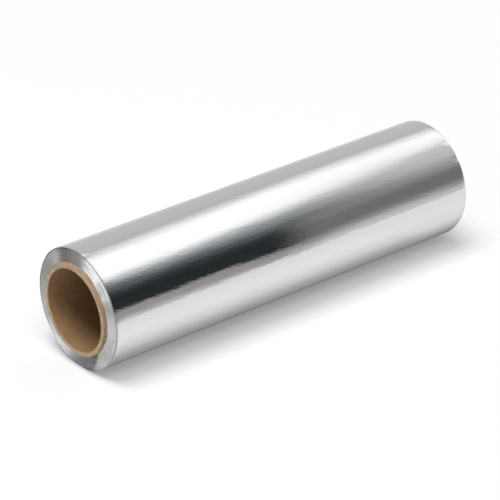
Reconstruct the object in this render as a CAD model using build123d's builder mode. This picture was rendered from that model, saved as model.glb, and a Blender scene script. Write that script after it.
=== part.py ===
"""Roll of aluminium kitchen foil wound on a cardboard core, lying on its side.

X runs along the roll, Z is up, and the origin is on the flat underneath, at mid length.
"""
import math
import os

from build123d import *

# Driving dimensions in millimetres and degrees
foil_width = 300.0  # width of the web, which is the length of the wound foil
foil_depth = 10.25  # wound foil, from the core out to the last full turn
rim_bevel = 1.0  # outermost turns, beaten back at the roll's two rims
core_bore = 56.0  # clear diameter inside the core
core_wall = 3.0
core_overhang = 3.0  # bare core past the foil at each end
core_edge_break = 0.3  # softened edge on the core's two cut ends
resting_flat = 8.5  # width of the flat that the roll's own weight presses into it
turn_pitch = 1.2  # radial pitch of the bands of turns that show on the ends
turn_relief = 0.3  # how far one band of turns stands back from the next
tail_lift = 0.3  # height of the web's free edge over the turn below it
tail_lead = 14.0  # length of web that lifts off ahead of the free edge
tail_angle = 38.0  # where the free edge lies on the back, above the horizontal

core_radius = core_bore / 2 + core_wall
roll_radius = core_radius + foil_depth
core_length = foil_width + 2 * core_overhang
axis_height = math.sqrt(roll_radius**2 - (resting_flat / 2) ** 2)
lead_angle = tail_angle + math.degrees(tail_lead / roll_radius)
tail_length = foil_width - 2 * rim_bevel

# The turns wind inwards in quarter arcs, each a little smaller than the one before it
full_turn = 360.0
quarter_turn = full_turn / 4
quarter_step = turn_pitch / 4
band_width = turn_pitch / 2
first_band_radius = roll_radius - rim_bevel - band_width
quarters = int((first_band_radius - band_width - core_radius) / quarter_step) - 1

section = Plane(origin=(0, 0, axis_height), x_dir=(0, 1, 0), z_dir=(1, 0, 0))


def around(radius, angle):
    """Point in the roll's section at this radius and angle from its axis."""
    turn = math.radians(angle)
    return Vector(radius * math.cos(turn), radius * math.sin(turn))


# Wound foil: all of its turns are one solid
with BuildPart() as foil_roll:
    with BuildSketch(section):
        Circle(roll_radius)
    extrude(amount=foil_width / 2, both=True)
    chamfer(foil_roll.edges().filter_by(GeomType.CIRCLE), rim_bevel)

    # Free end of the web, which lies along the back and lifts a little
    with BuildSketch(section):
        with BuildLine():
            CenterArc((0, 0), roll_radius, lead_angle, full_turn - lead_angle + tail_angle)
            TangentArc(
                around(roll_radius, lead_angle),
                around(roll_radius + tail_lift, tail_angle),
                tangent=around(1, lead_angle - quarter_turn),
            )
            Line(around(roll_radius + tail_lift, tail_angle), around(roll_radius, tail_angle))
        make_face()
    extrude(amount=tail_length / 2, both=True)

    # Bands of turns that stand back on both ends, in one spiral from the rim to the core
    for end in (-1, 1):
        with BuildSketch(section.offset(end * foil_width / 2)):
            with BuildLine():
                centre = Vector(0, 0)
                radius = first_band_radius
                angle = tail_angle
                Line(around(radius - band_width, angle), around(radius, angle))
                for quarter in range(quarters):
                    CenterArc(centre, radius, angle, quarter_turn)
                    CenterArc(centre, radius - band_width, angle, quarter_turn)
                    angle += quarter_turn
                    centre += around(quarter_step, angle)
                    radius -= quarter_step
                Line(centre + around(radius - band_width, angle), centre + around(radius, angle))
            make_face()
        extrude(amount=-end * turn_relief, mode=Mode.SUBTRACT)

    # Way through for the core, then the flat it rests on
    with BuildSketch(section):
        Circle(core_radius)
    extrude(amount=foil_width, both=True, mode=Mode.SUBTRACT)
    split(bisect_by=Plane.XY, keep=Keep.TOP)

# Spirally wound paperboard tube
with BuildPart() as cardboard_core:
    with BuildSketch(section):
        Circle(core_radius)
        Circle(core_bore / 2, mode=Mode.SUBTRACT)
    extrude(amount=core_length / 2, both=True)
    chamfer(cardboard_core.edges().filter_by(GeomType.CIRCLE), core_edge_break)

os.makedirs("parts", exist_ok=True)
foil_roll.part.label = "foil_roll"
cardboard_core.part.label = "cardboard_core"
export_step(foil_roll.part, "parts/foil_roll.step")
export_step(cardboard_core.part, "parts/cardboard_core.step")
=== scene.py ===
"""Roll of aluminium foil on its cardboard core: finished pieces and studio, on the part's CAD frame."""
import math

import bmesh
import bpy
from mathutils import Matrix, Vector, noise


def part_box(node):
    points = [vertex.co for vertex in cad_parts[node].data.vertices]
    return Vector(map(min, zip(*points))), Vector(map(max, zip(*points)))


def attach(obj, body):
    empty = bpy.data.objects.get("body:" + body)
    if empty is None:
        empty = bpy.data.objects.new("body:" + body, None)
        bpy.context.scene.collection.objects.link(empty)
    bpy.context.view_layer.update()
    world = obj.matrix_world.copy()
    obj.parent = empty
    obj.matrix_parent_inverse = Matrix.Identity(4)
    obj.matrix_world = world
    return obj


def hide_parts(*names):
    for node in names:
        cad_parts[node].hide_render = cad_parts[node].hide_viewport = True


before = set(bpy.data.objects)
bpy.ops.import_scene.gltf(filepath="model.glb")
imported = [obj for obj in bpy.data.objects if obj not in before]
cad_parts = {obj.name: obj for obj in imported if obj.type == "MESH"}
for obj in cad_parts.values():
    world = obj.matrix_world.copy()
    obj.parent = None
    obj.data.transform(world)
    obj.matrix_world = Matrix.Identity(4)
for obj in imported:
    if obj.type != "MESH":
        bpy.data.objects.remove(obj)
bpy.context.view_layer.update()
FOIL_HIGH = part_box("foil_roll")[1]
CORE_LOW, CORE_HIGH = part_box("cardboard_core")
AXIS_HEIGHT = (CORE_LOW.z + CORE_HIGH.z) / 2

# Faces that meet at more than this angle keep a sharp edge
SHARP_ANGLE = math.radians(35)
# Points nearer than this are one point, and edges shorter than this are dropped, in metres
MERGE_DISTANCE = 1e-7
SLIVER_LENGTH = 1e-8

# Radius of the reflector tent, in metres
TENT_RADIUS = 0.21
# Share of a light's warmth that is taken off its blue
WARM_BLUE = 0.45
# Light on the tent before the roll's left and right halves: angle from overhead in degrees, positive to the
# front, then level and warmth
TENT_LEFT = (
    (-90, 0.78, 0), (-75, 0.66, 0), (-62, 0.58, 0), (-34, 0.57, 0), (-27, 0.53, 0), (-22, 0.72, 0),
    (-9, 1.22, 0), (15, 1.22, 0), (19, 1.05, 0), (22, 0.8, -0.02), (29, 0.37, -0.05), (37, 0.14, -0.1),
    (45, 0.046, -0.12), (53, 0.026, -0.12), (68.8, 0.029, -0.08), (72.2, 0.31, 0.05), (82, 0.34, 0.05),
    (86, 0.52, 0.02), (90, 0.66, 0),
)
TENT_RIGHT = (
    (-90, 0.78, 0), (-75, 0.66, 0), (-62, 0.58, 0), (-34, 0.57, 0), (-29, 0.53, 0), (-24, 0.72, 0),
    (-11, 1.18, 0), (0, 1.12, 0), (6, 0.97, 0), (13, 0.64, 0.01), (29, 0.55, 0.01), (37, 0.40, 0.01),
    (45, 0.28, 0.01), (53, 0.18, 0), (66, 0.18, 0), (74, 0.3, 0.01), (82, 0.54, 0.01), (90, 0.64, 0),
)
# Light of the window past the left end: metres along the roll, level and warmth
TENT_WINDOW = ((-1.0, 0.75, -0.05), (-0.8, 1.3, 0))
# Light on the floor card, a painted shadow of the roll: distance from the roll's middle as a share of the
# tent's radius, level and warmth
CARD_FRONT = (
    (0.0, 0.12, 0), (0.08, 0.19, 0), (0.11, 0.275, 0), (0.135, 0.36, 0), (0.162, 0.435, 0), (0.19, 0.555, 0),
    (0.22, 0.69, 0), (0.257, 0.79, 0), (0.31, 0.88, 0), (0.38, 0.92, 0), (0.5, 0.89, 0), (1.0, 0.8, 0),
)

bl_info = {
    "name": "Foil roll",
    "version": (1, 0, 0),
    "blender": (4, 5, 0),
    "location": "View3D > Sidebar > Foil roll",
    "description": "Builds a wound roll of aluminium foil on a cardboard core, with its studio",
    "category": "Object",
}


class FoilSizes(bpy.types.PropertyGroup):
    """Sizes of the wound foil."""

    radius: bpy.props.FloatProperty(
        name="Radius", description="Outside of the last full turn",
        default=FOIL_HIGH.y, unit="LENGTH", precision=5,
    )
    half_width: bpy.props.FloatProperty(
        name="Half width", description="Half of the web's width",
        default=FOIL_HIGH.x, unit="LENGTH", precision=5,
    )
    lip: bpy.props.FloatProperty(
        name="Lip", description="Depth of the outermost turns, which stand apart at each rim",
        default=0.0009, unit="LENGTH", precision=5,
    )
    turn_pitch: bpy.props.FloatProperty(
        name="Turn pitch", description="Radial pitch of the bands of turns on the ends",
        default=0.0012, unit="LENGTH", precision=5,
    )
    turn_relief: bpy.props.FloatProperty(
        name="Turn relief", description="Depth of the fine grooves between the turns on the ends",
        default=0.00008, unit="LENGTH", precision=6,
    )
    tail_lift: bpy.props.FloatProperty(
        name="Tail lift", description="Height of the free edge over the turn below",
        default=0.0003, unit="LENGTH", precision=5,
    )
    tail_angle: bpy.props.FloatProperty(
        name="Tail angle", description="Where the free edge lies on the back, above the horizontal",
        default=math.radians(38), subtype="ANGLE",
    )
    tail_lead: bpy.props.FloatProperty(
        name="Tail lead", description="Angle over which the web lifts off ahead of its free edge",
        default=math.radians(19.4), subtype="ANGLE",
    )
    sag: bpy.props.FloatProperty(
        name="Winding waves", description="Depth of the soft waves in the outer turns",
        default=0.00003, unit="LENGTH", precision=6,
    )
    nick: bpy.props.FloatProperty(
        name="Rim nicks", description="Depth of the small nicks in the rims",
        default=0.0005, unit="LENGTH", precision=5,
    )


class CoreSizes(bpy.types.PropertyGroup):
    """Sizes of the cardboard core."""

    radius: bpy.props.FloatProperty(
        name="Outer radius", description="Outside of the core",
        default=CORE_HIGH.y, unit="LENGTH", precision=5,
    )
    wall: bpy.props.FloatProperty(
        name="Wall", description="Thickness of the core's wall",
        default=0.003, unit="LENGTH", precision=5,
    )
    half_length: bpy.props.FloatProperty(
        name="Half length", description="Half of the core's length",
        default=CORE_HIGH.x, unit="LENGTH", precision=5,
    )
    ply_pitch: bpy.props.FloatProperty(
        name="Ply pitch", description="Length along the core of one turn of its spiral ply",
        default=0.105, unit="LENGTH", precision=4,
    )


class FoilRollColours(bpy.types.PropertyGroup):
    """Colours of the two pieces and of the floor."""

    foil: bpy.props.FloatVectorProperty(
        name="Foil", description="Bright side of the foil",
        size=3, subtype="COLOR", default=(0.83, 0.83, 0.835), min=0, max=1,
    )
    foil_dull: bpy.props.FloatVectorProperty(
        name="Dull foil", description="Duller streaks and worn rims of the foil",
        size=3, subtype="COLOR", default=(0.74, 0.74, 0.745), min=0, max=1,
    )
    # Colour of the painted shade in the gaps and the crevice between the turns
    gap: bpy.props.FloatVectorProperty(
        name="Gaps", description="Shaded gaps between the turns",
        size=3, subtype="COLOR", default=(0.10, 0.10, 0.11), min=0, max=1,
    )
    board: bpy.props.FloatVectorProperty(
        name="Board", description="Outer ply of the unbleached paperboard",
        size=3, subtype="COLOR", default=(0.57, 0.41, 0.265), min=0, max=1,
    )
    board_cut: bpy.props.FloatVectorProperty(
        name="Cut board", description="Paler blotches on the core's cut ends",
        size=3, subtype="COLOR", default=(0.7, 0.53, 0.37), min=0, max=1,
    )
    board_inside: bpy.props.FloatVectorProperty(
        name="Inner ply", description="Browner ply that lines the bore",
        size=3, subtype="COLOR", default=(0.385, 0.237, 0.12), min=0, max=1,
    )
    # This colour also darkens the core's outside as painted shade
    board_fibre_and_shade: bpy.props.FloatVectorProperty(
        name="Board fibres", description="Dark fibres and ply seams in the board",
        size=3, subtype="COLOR", default=(0.24, 0.15, 0.085), min=0, max=1,
    )
    floor: bpy.props.FloatVectorProperty(
        name="Floor", description="Studio floor",
        size=3, subtype="COLOR", default=(0.826, 0.826, 0.826), min=0, max=1,
    )
    floor_glow: bpy.props.FloatProperty(
        name="Floor glow", description="Light that the floor adds to its own picture, which makes it white",
        default=0.174, min=0, max=1, subtype="FACTOR",
    )


def ease(value):
    """Smooth step from 0 to 1."""
    value = min(max(value, 0.0), 1.0)
    return value * value * (3 - 2 * value)


def place(along, radius, angle):
    """Point of the roll at this place along it, radius and angle, kept above the floor."""
    height = AXIS_HEIGHT + radius * math.sin(angle)
    return (along, radius * math.cos(angle), max(height, 0.0))


def opaque(colour):
    """Colour as a shader's socket takes it."""
    return (*colour, 1)


def grey(level):
    """Neutral light of this level as a shader's socket takes it."""
    return (level, level, level, 1)


def add_node(tree, kind, inputs=None, **settings):
    """Adds a shader node; each input is given a value or joined to a socket."""
    made = tree.nodes.new("ShaderNode" + kind)
    for name, value in settings.items():
        setattr(made, name, value)
    for name, value in (inputs or {}).items():
        if isinstance(value, bpy.types.NodeSocket):
            tree.links.new(value, made.inputs[name])
        else:
            made.inputs[name].default_value = value
    return made


def math_node(tree, operation, *values):
    """Result of one math node."""
    return add_node(tree, "Math", dict(enumerate(values)), operation=operation).outputs["Value"]


def vector_node(tree, operation, *vectors):
    """Vector that one vector math node gives."""
    return add_node(tree, "VectorMath", dict(enumerate(vectors)), operation=operation).outputs["Vector"]


def length_node(tree, vector):
    """Length of a vector."""
    return add_node(tree, "VectorMath", {0: vector}, operation="LENGTH").outputs["Value"]


def join_node(tree, **parts):
    """Vector put together from its parts."""
    return add_node(tree, "CombineXYZ", parts).outputs["Vector"]


def fade_node(tree, value, low, high, start=0.0, end=1.0):
    """Smooth mask that goes from start at low to end at high."""
    inputs = {"Value": value, "From Min": low, "From Max": high, "To Min": start, "To Max": end}
    return add_node(tree, "MapRange", inputs, interpolation_type="SMOOTHSTEP").outputs["Result"]


def mix_node(tree, kind, factor, first, second):
    """Mix of two values or colours by a mask."""
    first_slot, second_slot, result = {"FLOAT": (2, 3, 0), "RGBA": (6, 7, 2)}[kind]
    inputs = {0: factor, first_slot: first, second_slot: second}
    return add_node(tree, "Mix", inputs, data_type=kind).outputs[result]


def group_node(tree, group, **inputs):
    """Adds a node group to a material; its inputs are given by name."""
    made = tree.nodes.new("ShaderNodeGroup")
    made.node_tree = group
    for name, value in inputs.items():
        made.inputs[name].default_value = value
    return made


def new_group(name, inputs, outputs):
    """Empty shader node group with named values in and out."""
    group = bpy.data.node_groups.new(name, "ShaderNodeTree")
    for label, value in inputs:
        socket = group.interface.new_socket(label, in_out="INPUT", socket_type="NodeSocketFloat")
        socket.default_value = value
    for label in outputs:
        group.interface.new_socket(label, in_out="OUTPUT", socket_type="NodeSocketFloat")
    return group, group.nodes.new("NodeGroupInput").outputs, group.nodes.new("NodeGroupOutput").inputs


def object_place(tree):
    """Place on the object, and its three parts."""
    spot = add_node(tree, "TexCoord").outputs["Object"]
    return spot, add_node(tree, "SeparateXYZ", {"Vector": spot}).outputs


def roll_place_group():
    """Place on the roll: distance from mid-length, distance and angle round the axis, and spiral share."""
    known = bpy.data.node_groups.get("roll_place")
    if known:
        return known
    outputs = ("Along", "Radius", "Angle", "Spiral")
    group, given, result = new_group("roll_place", (("Pitch", 0.1),), outputs)
    split = object_place(group)[1]
    height = math_node(group, "SUBTRACT", split["Z"], AXIS_HEIGHT)
    radius = length_node(group, join_node(group, Y=split["Y"], Z=height))
    angle = math_node(group, "ARCTAN2", height, split["Y"])
    turns = math_node(group, "DIVIDE", split["X"], given["Pitch"])
    spiral = math_node(group, "FRACT", math_node(group, "MULTIPLY_ADD", angle, 1 / math.tau, turns))
    group.links.new(math_node(group, "ABSOLUTE", split["X"]), result["Along"])
    group.links.new(radius, result["Radius"])
    group.links.new(math_node(group, "DEGREES", angle), result["Angle"])
    group.links.new(spiral, result["Spiral"])
    return group


def stretched_grain_group():
    """Grain with its own fineness along the roll and around it."""
    known = bpy.data.node_groups.get("stretched_grain")
    if known:
        return known
    inputs = (("Along", 100.0), ("Around", 100.0), ("Detail", 2.0), ("Slant", 0.0))
    group, given, result = new_group("stretched_grain", inputs, ("Mask",))
    spot, split = object_place(group)
    slide = math_node(group, "MULTIPLY", split["X"], given["Slant"])
    spot = vector_node(group, "ADD", spot, join_node(group, Y=slide, Z=slide))
    fineness = join_node(group, X=given["Along"], Y=given["Around"], Z=given["Around"])
    spread = vector_node(group, "MULTIPLY", spot, fineness)
    inputs = {"Vector": spread, "Scale": 1.0, "Detail": given["Detail"], "Roughness": 0.6}
    group.links.new(add_node(group, "TexNoise", inputs).outputs["Fac"], result["Mask"])
    return group


def wound_rings_group():
    """Fine rings round the axis that change slowly on their way round."""
    known = bpy.data.node_groups.get("wound_rings")
    if known:
        return known
    group, given, result = new_group("wound_rings", (("Rings", 1000.0), ("Drift", 2.0)), ("Mask",))
    split = object_place(group)[1]
    height = math_node(group, "SUBTRACT", split["Z"], AXIS_HEIGHT)
    around = join_node(group, Y=split["Y"], Z=height)
    heading = vector_node(group, "NORMALIZE", around)
    inputs = {0: heading, "Scale": given["Drift"]}
    drift = add_node(group, "VectorMath", inputs, operation="SCALE").outputs["Vector"]
    ring = math_node(group, "MULTIPLY", length_node(group, around), given["Rings"])
    wound = vector_node(group, "ADD", drift, join_node(group, X=ring))
    inputs = {"Vector": wound, "Scale": 1.0, "Detail": 2.0, "Roughness": 0.55}
    group.links.new(add_node(group, "TexNoise", inputs).outputs["Fac"], result["Mask"])
    return group


def new_material(name):
    """Empty node material with its output and Principled shader."""
    material = bpy.data.materials.new(name)
    material.use_nodes = True
    tree = material.node_tree
    tree.nodes.clear()
    shader = add_node(tree, "BsdfPrincipled")
    add_node(tree, "OutputMaterial", {"Surface": shader.outputs["BSDF"]})
    return material, tree, shader


def set_finish(tree, shader, colour, rough, relief, depth):
    """Joins a finish to its shader: colour, roughness, and relief of this depth."""
    bump = add_node(tree, "Bump", {"Height": relief, "Distance": depth, "Strength": 1.0})
    tree.links.new(colour, shader.inputs["Base Color"])
    tree.links.new(rough, shader.inputs["Roughness"])
    tree.links.new(bump.outputs["Normal"], shader.inputs["Normal"])


def add_piece(name, verts, faces, slots, material_of):
    """Object from vertices and faces, with its materials, merged and shaded smooth."""
    mesh = bpy.data.meshes.new(name)
    mesh.from_pydata(verts, [], faces)
    for material in slots:
        mesh.materials.append(material)
    mesh.polygons.foreach_set("material_index", material_of)
    shape = bmesh.new()
    shape.from_mesh(mesh)
    bmesh.ops.remove_doubles(shape, verts=shape.verts, dist=MERGE_DISTANCE)
    bmesh.ops.dissolve_degenerate(shape, edges=shape.edges, dist=SLIVER_LENGTH)
    bmesh.ops.recalc_face_normals(shape, faces=shape.faces)
    shape.to_mesh(mesh)
    shape.free()
    mesh.shade_smooth()
    mesh.set_sharp_from_angle(angle=SHARP_ANGLE)
    piece = bpy.data.objects.new(name, mesh)
    bpy.context.scene.collection.objects.link(piece)
    return piece


class FOILROLL_OT_winding(bpy.types.Operator):
    """Builds the wound foil with its turns, lips and free edge"""

    bl_idname = "object.foil_roll_winding"
    bl_label = "Wound foil"

    columns = 288
    rings_along = 90
    strands_per_turn = 8
    # Rows of faces on each lip that show the cut edges of the turns
    lip_end_rows = 4
    # Lengths in metres: how far the ends' faces stand back, and how uneven the lips and the strands are
    face_back = 0.00003
    lip_unevenness = 0.00006
    strand_unevenness = 0.00002
    # Share by which the grooves' depth changes on their way round
    groove_change = 0.12
    # Share of the finer waves in the outer turns
    fine_waves = 0.35
    # Nicks: end of the roll, angle and spread in degrees
    nicks = ((-1, 101, 2.2), (1, 121, 2.5), (1, 140, 3.0))
    # Share of a nick's depth that also goes in towards the axis
    nick_inwards = 0.7

    def execute(self, context):
        sizes = context.scene.foil_roll_foil
        core_radius = context.scene.foil_roll_core.radius
        verts, faces, material_of = [], [], []
        self.add_side(sizes, verts, faces, material_of)
        for side in (-1, 1):
            self.add_end(sizes, core_radius, side, verts, faces, material_of)
        self.add_way_through(sizes, core_radius, verts, faces, material_of)
        foil = add_piece("wound_foil", verts, faces, (bright_foil(), turn_edges()), material_of)
        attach(foil, "root")
        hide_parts("foil_roll")
        return {"FINISHED"}

    def lift_at(self, sizes, turn):
        """Lift of the web at this share of a turn from its free edge."""
        return sizes.tail_lift * ease(1 - turn / (sizes.tail_lead / math.tau))

    def flutter(self, along):
        """Share of the free edge's lift at this place along it."""
        return 0.75 + 0.25 * noise.noise(Vector((along * 55, 0.3, 8.1)))

    def waves(self, sizes, along, angle):
        """Soft waves of the outer turns, which only go in from the outside."""
        broad = Vector((along * 14, math.cos(angle) * 1.6, math.sin(angle) * 1.6))
        fine = Vector((along * 5, math.cos(angle) * 7, math.sin(angle) * 7 + 3.7))
        height = noise.noise(broad) + self.fine_waves * noise.noise(fine)
        return sizes.sag * (height - (1 + self.fine_waves))

    def nick_at(self, sizes, along, angle):
        """Depth of the rims' nicks at this place."""
        depth = 0.0
        for end, centre, spread in self.nicks:
            off = (math.degrees(angle) - centre + 180) % 360 - 180
            if along * end > 0:
                depth += sizes.nick * math.exp(-(off / spread) ** 2)
        return depth

    def lip_profile(self, lip):
        """Inset from the outer turn and distance back from the web's edge, from an end out to the side."""
        return (
            (lip, self.face_back), (lip - 0.00005, 0.0003), (0.00058, 0.0003), (0.00052, 0.00008),
            (0.0003, 0.0001), (0.00018, 0.0003), (0.00008, 0.0006), (0.0, 0.001),
        )

    def add_side(self, sizes, verts, faces, material_of):
        """Side of the roll, from lip to lip."""
        profile = self.lip_profile(sizes.lip)
        reach = sizes.half_width - profile[-1][1]
        rows = [(-sizes.half_width + back, inset) for inset, back in profile]
        for ring in range(1, self.rings_along):
            rows.append((-reach + 2 * reach * ring / self.rings_along, 0.0))
        rows += [(sizes.half_width - back, inset) for inset, back in reversed(profile)]
        start = len(verts)
        width = self.columns + 1
        for along, inset in rows:
            at_rim = abs(along) >= reach - MERGE_DISTANCE
            share = 1 - inset / sizes.lip
            for column in range(width):
                turn = column / self.columns
                angle = sizes.tail_angle + turn * math.tau
                lift = 0.0
                if column < self.columns:
                    lift = self.lift_at(sizes, turn) * share * self.flutter(along)
                radius = sizes.radius - inset + lift + self.waves(sizes, along, angle) * share
                push = 0.0
                if at_rim and 0 < inset < sizes.lip:
                    spot = Vector((math.cos(angle) * 9, math.sin(angle) * 9, along * 30))
                    push = self.lip_unevenness * (1 + noise.noise(spot))
                    push += self.nick_at(sizes, along, angle) * share
                if at_rim:
                    radius -= self.nick_inwards * self.nick_at(sizes, along, angle) * share
                verts.append(place(along - math.copysign(push, along), radius, angle))
        last_row = len(rows) - 2
        for row in range(len(rows) - 1):
            on_end = row < self.lip_end_rows or row > last_row - self.lip_end_rows
            first, second = start + row * width, start + (row + 1) * width
            for column in range(width):
                after = (column + 1) % width
                faces.append((first + column, first + after, second + after, second + column))
                material_of.append(1 if on_end else 0)

    def add_end(self, sizes, core_radius, side, verts, faces, material_of):
        """One end: fine grooves between the turns, in one spiral from the lip in to the core."""
        face_radius = sizes.radius - sizes.lip
        spacing = sizes.turn_pitch / self.strands_per_turn
        strands = math.ceil((face_radius - core_radius) / spacing) + self.strands_per_turn
        start = len(verts)
        for strand in range(strands + 1):
            for column in range(self.columns):
                turn = column / self.columns
                angle = sizes.tail_angle + turn * math.tau
                inset = spacing * (strand - self.strands_per_turn) + sizes.turn_pitch * turn
                radius = min(max(face_radius - inset, core_radius), face_radius)
                depth = self.face_back
                if core_radius < radius < face_radius:
                    wound = strand / self.strands_per_turn + turn
                    spot = Vector((wound * 1.7, math.cos(angle) * 1.5, math.sin(angle) * 1.5 + side))
                    drift = noise.noise(spot)
                    depth += self.strand_unevenness * (1 + drift)
                    if strand % 2:
                        depth += sizes.turn_relief * (1 + self.groove_change * drift)
                verts.append(place(side * (sizes.half_width - depth), radius, angle))
        for strand in range(strands):
            for column in range(self.columns):
                last = column == self.columns - 1
                hop = self.strands_per_turn if last else 0
                after = 0 if last else column + 1
                outer = min(strand + hop, strands)
                inner = min(strand + 1 + hop, strands)
                loop = (
                    start + strand * self.columns + column,
                    start + outer * self.columns + after,
                    start + inner * self.columns + after,
                    start + (strand + 1) * self.columns + column,
                )
                # Faces that the core or the lip squeezes to a line are left out
                if len({tuple(round(c, 8) for c in verts[v]) for v in loop}) < 3:
                    continue
                faces.append(loop if side > 0 else loop[::-1])
                material_of.append(1)

    def add_way_through(self, sizes, core_radius, verts, faces, material_of):
        """Way through the roll for its core."""
        start = len(verts)
        for side in (-1, 1):
            for column in range(self.columns):
                angle = sizes.tail_angle + column / self.columns * math.tau
                verts.append(place(side * (sizes.half_width - self.face_back), core_radius, angle))
        other = start + self.columns
        for column in range(self.columns):
            after = (column + 1) % self.columns
            faces.append((start + column, other + column, other + after, start + after))
            material_of.append(0)


def bright_foil():
    """Bright rolled side of the foil: streaks along the roll, fine rolling lines round it, worn rims."""
    sizes = bpy.context.scene.foil_roll_foil
    colours = bpy.context.scene.foil_roll_colours
    material, tree, shader = new_material("bright_foil")
    spot = group_node(tree, roll_place_group()).outputs
    grain = stretched_grain_group()
    streaks = group_node(tree, grain, Along=190, Around=900, Detail=2, Slant=0.25).outputs["Mask"]
    lines = group_node(tree, grain, Along=1300, Around=10, Detail=2).outputs["Mask"]
    ripples = group_node(tree, grain, Along=26, Around=130, Detail=2).outputs["Mask"]
    rim = fade_node(tree, spot["Along"], sizes.half_width - 0.0016, sizes.half_width - 0.0006)
    dull = fade_node(tree, streaks, 0.42, 0.72, 0.0, 0.18)
    worn = math_node(tree, "MAXIMUM", dull, rim)
    colour = mix_node(tree, "RGBA", worn, opaque(colours.foil), opaque(colours.foil_dull))
    rough = fade_node(tree, lines, 0.3, 0.7, 0.045, 0.075)
    rough = math_node(tree, "MULTIPLY_ADD", worn, 0.06, rough)
    relief = math_node(tree, "MULTIPLY_ADD", lines, 0.05, streaks)
    relief = math_node(tree, "MULTIPLY_ADD", ripples, 3.0, relief)
    shader.inputs["Metallic"].default_value = 1.0
    set_finish(tree, shader, colour, rough, relief, depth=0.000045)
    return material


def turn_edges():
    """Cut edges of the turns on the roll's ends: fine rings, with painted shade in the gaps between the turns
    and in the crevice near the rim.
    """
    sizes = bpy.context.scene.foil_roll_foil
    colours = bpy.context.scene.foil_roll_colours
    material, tree, shader = new_material("turn_edges")
    spot = group_node(tree, roll_place_group()).outputs
    angle, radius = spot["Angle"], spot["Radius"]
    rings = group_node(tree, wound_rings_group(), Rings=2600, Drift=2.2).outputs["Mask"]
    gaps = group_node(tree, wound_rings_group(), Rings=1500, Drift=3.5).outputs["Mask"]
    # Painted shade in the gaps between the turns, darkest at the upper front
    gap_shade_span = fade_node(tree, angle, 92, 108, 0.25)
    gap_shade_span = math_node(tree, "MULTIPLY", gap_shade_span, fade_node(tree, angle, 158, 145, 0.25))
    shade = math_node(tree, "MULTIPLY", fade_node(tree, gaps, 0.57, 0.63, 0.0, 0.8), gap_shade_span)
    # Painted shade in the crevice under the outermost turns, weaker at the lower front
    deep = fade_node(tree, radius, sizes.radius - 0.00095, sizes.radius - 0.0008)
    crevice = fade_node(tree, radius, sizes.radius - 0.00045, sizes.radius - 0.0006)
    crevice = math_node(tree, "MULTIPLY", deep, crevice)
    crevice = math_node(tree, "MULTIPLY", crevice, fade_node(tree, gaps, 0.3, 0.5, 0.4, 0.9))
    crevice_shade_span = fade_node(tree, angle, 150, 178, 1.0, 0.25)
    crevice_shade_span = math_node(tree, "MINIMUM", crevice_shade_span, fade_node(tree, angle, -105, -85, 0.25, 1.0))
    crevice = math_node(tree, "MULTIPLY", crevice, crevice_shade_span)
    shade = math_node(tree, "MAXIMUM", shade, crevice)
    bright = fade_node(tree, rings, 0.35, 0.65)
    colour = mix_node(tree, "RGBA", bright, opaque(colours.foil_dull), opaque(colours.foil))
    colour = mix_node(tree, "RGBA", shade, colour, opaque(colours.gap))
    rough = fade_node(tree, rings, 0.3, 0.7, 0.14, 0.24)
    shader.inputs["Metallic"].default_value = 1.0
    set_finish(tree, shader, colour, rough, rings, depth=0.000003)
    return material


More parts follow.
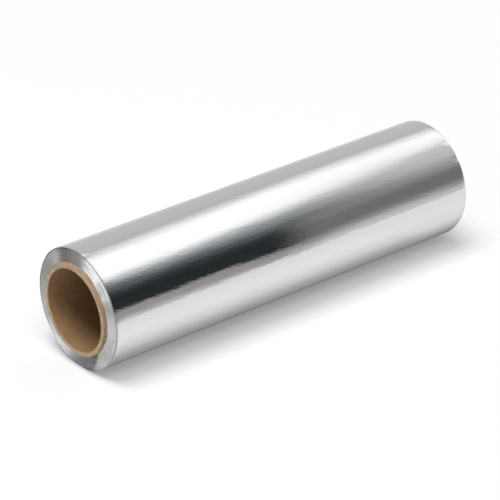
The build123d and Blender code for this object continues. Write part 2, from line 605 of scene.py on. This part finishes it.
def paper_board():
    """Unbleached paperboard of the core: mottled plies, fibres, ply lines on the cut ends, spiral seams."""
    sizes = bpy.context.scene.foil_roll_core
    colours = bpy.context.scene.foil_roll_colours
    board, fibre_and_shade = opaque(colours.board), opaque(colours.board_fibre_and_shade)
    outside, bore = sizes.radius, sizes.radius - sizes.wall
    material, tree, shader = new_material("paper_board")
    spot = group_node(tree, roll_place_group(), Pitch=sizes.ply_pitch).outputs
    radius = spot["Radius"]
    grain = stretched_grain_group()
    mottle = group_node(tree, grain, Along=190, Around=190, Detail=3).outputs["Mask"]
    fibres = group_node(tree, grain, Along=700, Around=450, Detail=4).outputs["Mask"]
    plies = group_node(tree, wound_rings_group(), Rings=2400, Drift=1.6).outputs["Mask"]
    cut_end = fade_node(tree, spot["Along"], sizes.half_length - 0.0004, sizes.half_length - 0.0001)
    # Outside and bore: mottled and fibrous plies with a spiral seam, and painted shade that darkens the
    # core's outside
    inside = fade_node(tree, radius, bore + 0.0005, bore + 0.0001)
    ply = mix_node(tree, "RGBA", inside, board, opaque(colours.board_inside))
    # Painted shade: the core's outside, seen where it stands past the foil, is darkened towards the fibre
    # colour
    outside_painted_shade = fade_node(tree, radius, outside - 0.0006, outside - 0.0001, 0.0, 0.32)
    ply = mix_node(tree, "RGBA", outside_painted_shade, ply, fibre_and_shade)
    ply = mix_node(tree, "RGBA", fade_node(tree, mottle, 0.4, 0.68, 0.0, 0.42), ply, fibre_and_shade)
    ply = mix_node(tree, "RGBA", fade_node(tree, fibres, 0.5, 0.7, 0.0, 0.55), ply, fibre_and_shade)
    from_seam = math_node(tree, "ABSOLUTE", math_node(tree, "SUBTRACT", spot["Spiral"], 0.5))
    seam = fade_node(tree, from_seam, 0.004, 0.0015, 0.0, 0.2)
    seam = math_node(tree, "MULTIPLY", seam, math_node(tree, "SUBTRACT", 1.0, cut_end))
    ply = mix_node(tree, "RGBA", seam, ply, fibre_and_shade)
    # Cut ends: pale blotches, lines of plies, and darker inner and outer edges
    blotches = fade_node(tree, mottle, 0.45, 0.6, 0.0, 0.9)
    edge = mix_node(tree, "RGBA", blotches, board, opaque(colours.board_cut))
    edge = mix_node(tree, "RGBA", fade_node(tree, plies, 0.45, 0.7, 0.0, 0.6), edge, fibre_and_shade)
    edge_darkening = fade_node(tree, radius, outside - 0.0006, outside - 0.0001)
    edge_darkening = math_node(tree, "MAXIMUM", edge_darkening, fade_node(tree, radius, bore + 0.0006, bore + 0.0001))
    edge_darkening = math_node(tree, "MULTIPLY", edge_darkening, fade_node(tree, plies, 0.3, 0.6, 0.15, 0.55))
    edge = mix_node(tree, "RGBA", edge_darkening, edge, fibre_and_shade)
    colour = mix_node(tree, "RGBA", cut_end, ply, edge)
    rough = fade_node(tree, fibres, 0.3, 0.7, 0.78, 0.95)
    relief = math_node(tree, "MULTIPLY_ADD", seam, -0.8, fibres)
    shader.inputs["Specular IOR Level"].default_value = 0.25
    set_finish(tree, shader, colour, rough, relief, depth=0.00006)
    return material


class FOILROLL_OT_core(bpy.types.Operator):
    """Builds the spirally wound cardboard core"""

    bl_idname = "object.foil_roll_core"
    bl_label = "Cardboard core"

    columns = 192
    rings_along = 60
    rings_on_end = 12
    # Lengths in metres: the softened edges, and how uneven the cut ends are
    edge_break = 0.0003
    fray = 0.00004

    def execute(self, context):
        sizes = context.scene.foil_roll_core
        inner = sizes.radius - sizes.wall
        reach, soft = sizes.half_length, self.edge_break
        rows = []
        for step in range(self.rings_along + 1):
            rows.append((-reach + soft + 2 * (reach - soft) * step / self.rings_along, sizes.radius))
        for step in range(self.rings_on_end + 1):
            rows.append((reach, sizes.radius - soft - (sizes.wall - 2 * soft) * step / self.rings_on_end))
        for step in range(self.rings_along + 1):
            rows.append((reach - soft - 2 * (reach - soft) * step / self.rings_along, inner))
        for step in range(self.rings_on_end + 1):
            rows.append((-reach, inner + soft + (sizes.wall - 2 * soft) * step / self.rings_on_end))
        verts, faces = [], []
        for along, radius in rows:
            for column in range(self.columns):
                angle = column / self.columns * math.tau
                frayed = 0.0
                if abs(along) == reach:
                    spot = Vector((math.cos(angle) * 14, math.sin(angle) * 14, radius * 900))
                    frayed = self.fray * (1 + noise.noise(spot))
                verts.append(place(along - math.copysign(frayed, along), radius, angle))
        for row in range(len(rows)):
            first, second = row * self.columns, (row + 1) % len(rows) * self.columns
            for column in range(self.columns):
                after = (column + 1) % self.columns
                faces.append((first + column, first + after, second + after, second + column))
        core = add_piece("paper_core", verts, faces, (paper_board(),), [0] * len(faces))
        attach(core, "root")
        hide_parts("cardboard_core")
        return {"FINISHED"}


def seen_rays(tree, hidden, shown):
    """Level: shown where the camera, a reflection or glass looks, and hidden for light on the object."""
    path = add_node(tree, "LightPath").outputs
    seen = math_node(tree, "MAXIMUM", path["Is Camera Ray"], path["Is Glossy Ray"])
    seen = math_node(tree, "MAXIMUM", seen, path["Is Transmission Ray"])
    return add_node(tree, "MapRange", {"Value": seen, "To Min": hidden, "To Max": shown}).outputs["Result"]


def floor_paper():
    """Plain white studio floor, which keeps the roll's shadow and glows more far away from it."""
    colours = bpy.context.scene.foil_roll_colours
    near, far, far_glow = 0.4, 4.0, 0.6
    material, tree, shader = new_material("floor_paper")
    shader.inputs["Base Color"].default_value = opaque(colours.floor)
    shader.inputs["Roughness"].default_value = 1.0
    shader.inputs["Specular IOR Level"].default_value = 0.0
    shader.inputs["Emission Color"].default_value = grey(1)
    away = length_node(tree, object_place(tree)[0])
    glow = fade_node(tree, away, near, far, colours.floor_glow, far_glow)
    glow = math_node(tree, "MULTIPLY", glow, seen_rays(tree, 0.0, 1.0))
    tree.links.new(glow, shader.inputs["Emission Strength"])
    return material


def ramp_node(tree, value, stops):
    """Ramp of light along a value, given as its stops' value, level and warmth."""
    low, high = stops[0][0], stops[-1][0]
    share = add_node(tree, "MapRange", {"Value": value, "From Min": low, "From Max": high}).outputs["Result"]
    ramp = add_node(tree, "ValToRGB", {"Fac": share})
    while len(ramp.color_ramp.elements) < len(stops):
        ramp.color_ramp.elements.new(0.5)
    for element, (stop, level, warmth) in zip(ramp.color_ramp.elements, stops):
        element.position = (stop - low) / (high - low)
        element.color = (level * (1 + warmth), level, level * (1 - WARM_BLUE * warmth), 1)
    return ramp.outputs["Color"]


def reflector_material(name):
    """Empty material of a reflector, with its tree, its Emission shader and the parts of a place on it."""
    material = bpy.data.materials.new(name)
    material.use_nodes = True
    material.cycles.emission_sampling = "NONE"
    tree = material.node_tree
    tree.nodes.clear()
    glow = add_node(tree, "Emission")
    add_node(tree, "OutputMaterial", {"Surface": glow.outputs["Emission"]})
    return material, tree, glow, object_place(tree)[1]


def tent_light():
    """Light on the reflector tent round the roll.

    It is grey behind and bright overhead. In front it is dark before the roll's left half and grey before its
    right half. Past the left end, at the back, it has a dark gap and a bright window, which that end mirrors.
    """
    material, tree, glow, split = reflector_material("tent_light")
    along = split["X"]
    forward = math_node(tree, "MULTIPLY", split["Y"], -1.0)
    arch = math_node(tree, "DEGREES", math_node(tree, "ARCTAN2", forward, split["Z"]))
    # The dark field's lower edge dips right of the middle, and its upper edge runs at a slant
    dip = fade_node(tree, along, 0.05, 0.1, 0, 3.4)
    dip = math_node(tree, "MULTIPLY", dip, fade_node(tree, along, 0.17, 0.12))
    dip = math_node(tree, "MULTIPLY", dip, fade_node(tree, arch, 54, 66))
    bent = math_node(tree, "SUBTRACT", arch, dip)
    taper = fade_node(tree, along, -0.1, 0.14, -3.5, 3.5)
    taper = math_node(tree, "MULTIPLY", taper, fade_node(tree, arch, 36, 25))
    left = ramp_node(tree, math_node(tree, "ADD", bent, taper), TENT_LEFT)
    right = ramp_node(tree, bent, TENT_RIGHT)
    # The left half's light goes over to the right half's, slowly above and quickly below
    lower = fade_node(tree, arch, 36, 52)
    slow = fade_node(tree, along, 0.04, 0.26)
    quick = fade_node(tree, math_node(tree, "MULTIPLY_ADD", arch, -0.00047, along), 0.058, 0.106)
    level = mix_node(tree, "RGBA", mix_node(tree, "FLOAT", lower, slow, quick), left, right)
    # Past the left end
    window = ramp_node(tree, along, TENT_WINDOW)
    window = mix_node(tree, "RGBA", fade_node(tree, arch, -47, -62), window, grey(0.78))
    gap = fade_node(tree, along, -0.25, -0.242, 0.25, 0.12)
    slant = math_node(tree, "MULTIPLY_ADD", arch, -0.00275, along)
    gap = mix_node(tree, "RGBA", fade_node(tree, slant, -0.18, -0.31), gap, window)
    past = math_node(tree, "MAXIMUM", fade_node(tree, arch, -22, -38), fade_node(tree, along, -0.5, -0.6))
    past = math_node(tree, "MULTIPLY", past, fade_node(tree, along, -0.196, -0.216))
    level = mix_node(tree, "RGBA", past, level, gap)
    tree.links.new(level, glow.inputs["Color"])
    return material


def card_light():
    """Light on the floor of the reflector tent.

    It carries a painted shadow of the roll, deepest towards the roll and less deep at the roll's right end.
    Beside the left end it has light and grey fields, with a painted contact shadow at their foot.
    """
    material, tree, glow, split = reflector_material("card_light")
    along, across = split["X"], split["Y"]
    away = math_node(tree, "MULTIPLY", math_node(tree, "ABSOLUTE", across), 1 / TENT_RADIUS)
    # Painted shadow of the roll, deepening towards it
    front = ramp_node(tree, away, CARD_FRONT)
    # Painted light: the shadow is weaker at the roll's right end
    open_end = fade_node(tree, along, 0.11, 0.145, 0.0, 0.7)
    open_end = math_node(tree, "MULTIPLY", open_end, fade_node(tree, away, 0.11, 0.25))
    front = mix_node(tree, "RGBA", open_end, front, grey(0.86))
    beside = fade_node(tree, across, 0.0, 0.03, 0.74, 0.44)
    field = fade_node(tree, along, -0.28, -0.38, 0.64, 0.4)
    beside = mix_node(tree, "FLOAT", fade_node(tree, along, -0.23, -0.26), beside, field)
    # Painted contact shadow beside the left end
    painted_contact_shadow = fade_node(tree, across, -0.0135, -0.0115)
    painted_contact_shadow = math_node(tree, "MULTIPLY", painted_contact_shadow, fade_node(tree, across, 0.017, 0.014))
    painted_contact_shadow = math_node(tree, "MAXIMUM", painted_contact_shadow, fade_node(tree, across, 0.068, 0.076))
    painted_contact_shadow = math_node(tree, "MULTIPLY", painted_contact_shadow, fade_node(tree, along, -0.26, -0.24))
    beside = mix_node(tree, "FLOAT", painted_contact_shadow, beside, 0.13)
    level = mix_node(tree, "RGBA", fade_node(tree, along, -0.1495, -0.1505), front, beside)
    tree.links.new(level, glow.inputs["Color"])
    return material


class FOILROLL_OT_stage(bpy.types.Operator):
    """Sets up the floor, the reflector tent, the lights and the camera"""

    bl_idname = "scene.foil_roll_stage"
    bl_label = "Studio"

    tent_steps = 96
    # Level of the world's light on the object
    ambient = 0.29
    # Lengths and places in metres
    floor_reach = 8.0
    tent_half_length = 3.0
    tent_height = 0.001
    card_left = -1.2
    card_right = 0.6
    card_height = 0.0004
    # Name, place, width, height and watts
    softboxes = (
        ("overhead_softbox", (-2.1, 0, 8.75), 4.15, 4.6, 474.7),
        ("front_softbox", (-1.5, -4.2, 7.82), 4.15, 4.15, 181.8),
    )
    softbox_aim = (0, 0, 0.03)
    camera_place = (-0.9913, -1.1783, 0.8263)
    # Tilt up from straight down, roll and turn
    camera_turn = (math.radians(90 - 27.24), 0, math.radians(-39.83))
    camera_reach = 100.0
    # Focal length and width of the picture, in pixels
    focal_pixels = 2606
    picture_pixels = 500

    def execute(self, context):
        scene = context.scene
        scene.view_settings.view_transform = "Standard"
        self.add_floor(scene)
        self.add_tent(scene)
        self.add_floor_card(scene)
        self.add_world(scene)
        for softbox in self.softboxes:
            self.add_softbox(scene, *softbox)
        self.add_camera(scene)
        return {"FINISHED"}

    def flat_mesh(self, name, left, right, reach, material):
        """Mesh of one flat sheet."""
        mesh = bpy.data.meshes.new(name)
        corners = [(left, -reach, 0), (right, -reach, 0), (right, reach, 0), (left, reach, 0)]
        mesh.from_pydata(corners, [], [(0, 1, 2, 3)])
        mesh.materials.append(material)
        return mesh

    def add_floor(self, scene):
        reach = self.floor_reach
        mesh = self.flat_mesh("floor", -reach, reach, reach, floor_paper())
        floor = bpy.data.objects.new("floor", mesh)
        scene.collection.objects.link(floor)

    def add_tent(self, scene):
        verts, faces = [], []
        for step in range(self.tent_steps + 1):
            angle = math.pi * step / self.tent_steps
            for along in (-self.tent_half_length, self.tent_half_length):
                verts.append((along, TENT_RADIUS * math.cos(angle), TENT_RADIUS * math.sin(angle)))
        for step in range(self.tent_steps):
            faces.append((2 * step, 2 * step + 1, 2 * step + 3, 2 * step + 2))
        mesh = bpy.data.meshes.new("reflector_tent")
        mesh.from_pydata(verts, [], faces)
        mesh.materials.append(tent_light())
        self.add_reflector(scene, "reflector_tent", mesh, self.tent_height)

    def add_floor_card(self, scene):
        mesh = self.flat_mesh("reflector_floor", self.card_left, self.card_right, TENT_RADIUS, card_light())
        self.add_reflector(scene, "reflector_floor", mesh, self.card_height)

    def add_reflector(self, scene, name, mesh, height):
        """Reflector that only reflections see."""
        reflector = bpy.data.objects.new(name, mesh)
        reflector.location.z = height
        reflector.visible_camera = False
        reflector.visible_diffuse = False
        reflector.visible_shadow = False
        scene.collection.objects.link(reflector)

    def add_world(self, scene):
        world = bpy.data.worlds.new("studio")
        world.use_nodes = True
        scene.world = world
        tree = world.node_tree
        background = tree.nodes["Background"]
        background.inputs["Color"].default_value = grey(1)
        tree.links.new(seen_rays(tree, self.ambient, 1.0), background.inputs["Strength"])

    def add_softbox(self, scene, name, location, width, height, watts):
        """Soft lamp over the roll, which the foil doesn't mirror."""
        lamp_data = bpy.data.lights.new(name, "AREA")
        lamp_data.shape = "RECTANGLE"
        lamp_data.size = width
        lamp_data.size_y = height
        lamp_data.energy = watts
        lamp = bpy.data.objects.new(name, lamp_data)
        lamp.location = location
        aim = (Vector(self.softbox_aim) - lamp.location).normalized()
        lamp.rotation_euler = (math.asin(aim.y), math.atan2(-aim.x, -aim.z), 0)
        lamp.visible_glossy = False
        scene.collection.objects.link(lamp)

    def add_camera(self, scene):
        camera_data = bpy.data.cameras.new("photo_camera")
        camera_data.sensor_width = 36.0
        camera_data.lens = self.focal_pixels / self.picture_pixels * camera_data.sensor_width
        camera_data.clip_end = self.camera_reach
        camera = bpy.data.objects.new("photo_camera", camera_data)
        camera.location = self.camera_place
        camera.rotation_euler = self.camera_turn
        scene.collection.objects.link(camera)
        scene.camera = camera


class FOILROLL_PT_panel(bpy.types.Panel):
    """Lists the foil roll's pieces and its studio"""

    bl_idname = "FOILROLL_PT_panel"
    bl_label = "Foil roll"
    bl_space_type = "VIEW_3D"
    bl_region_type = "UI"
    bl_category = "Foil roll"

    def draw(self, context):
        layout = self.layout
        scene = context.scene
        for group in (scene.foil_roll_foil, scene.foil_roll_core, scene.foil_roll_colours):
            box = layout.box()
            for name in group.bl_rna.properties.keys():
                if name not in {"rna_type", "name"}:
                    box.prop(group, name)
        layout.operator(FOILROLL_OT_winding.bl_idname)
        layout.operator(FOILROLL_OT_core.bl_idname)
        layout.operator(FOILROLL_OT_stage.bl_idname)


CLASSES = (
    FoilSizes,
    CoreSizes,
    FoilRollColours,
    FOILROLL_OT_winding,
    FOILROLL_OT_core,
    FOILROLL_OT_stage,
    FOILROLL_PT_panel,
)


def register():
    for cls in CLASSES:
        bpy.utils.register_class(cls)
    bpy.types.Scene.foil_roll_foil = bpy.props.PointerProperty(type=FoilSizes)
    bpy.types.Scene.foil_roll_core = bpy.props.PointerProperty(type=CoreSizes)
    bpy.types.Scene.foil_roll_colours = bpy.props.PointerProperty(type=FoilRollColours)


def unregister():
    del bpy.types.Scene.foil_roll_foil
    del bpy.types.Scene.foil_roll_core
    del bpy.types.Scene.foil_roll_colours
    for cls in reversed(CLASSES):
        bpy.utils.unregister_class(cls)


def main():
    register()
    bpy.ops.object.foil_roll_winding()
    bpy.ops.object.foil_roll_core()
    bpy.ops.scene.foil_roll_stage()


if __name__ == "__main__":
    main()
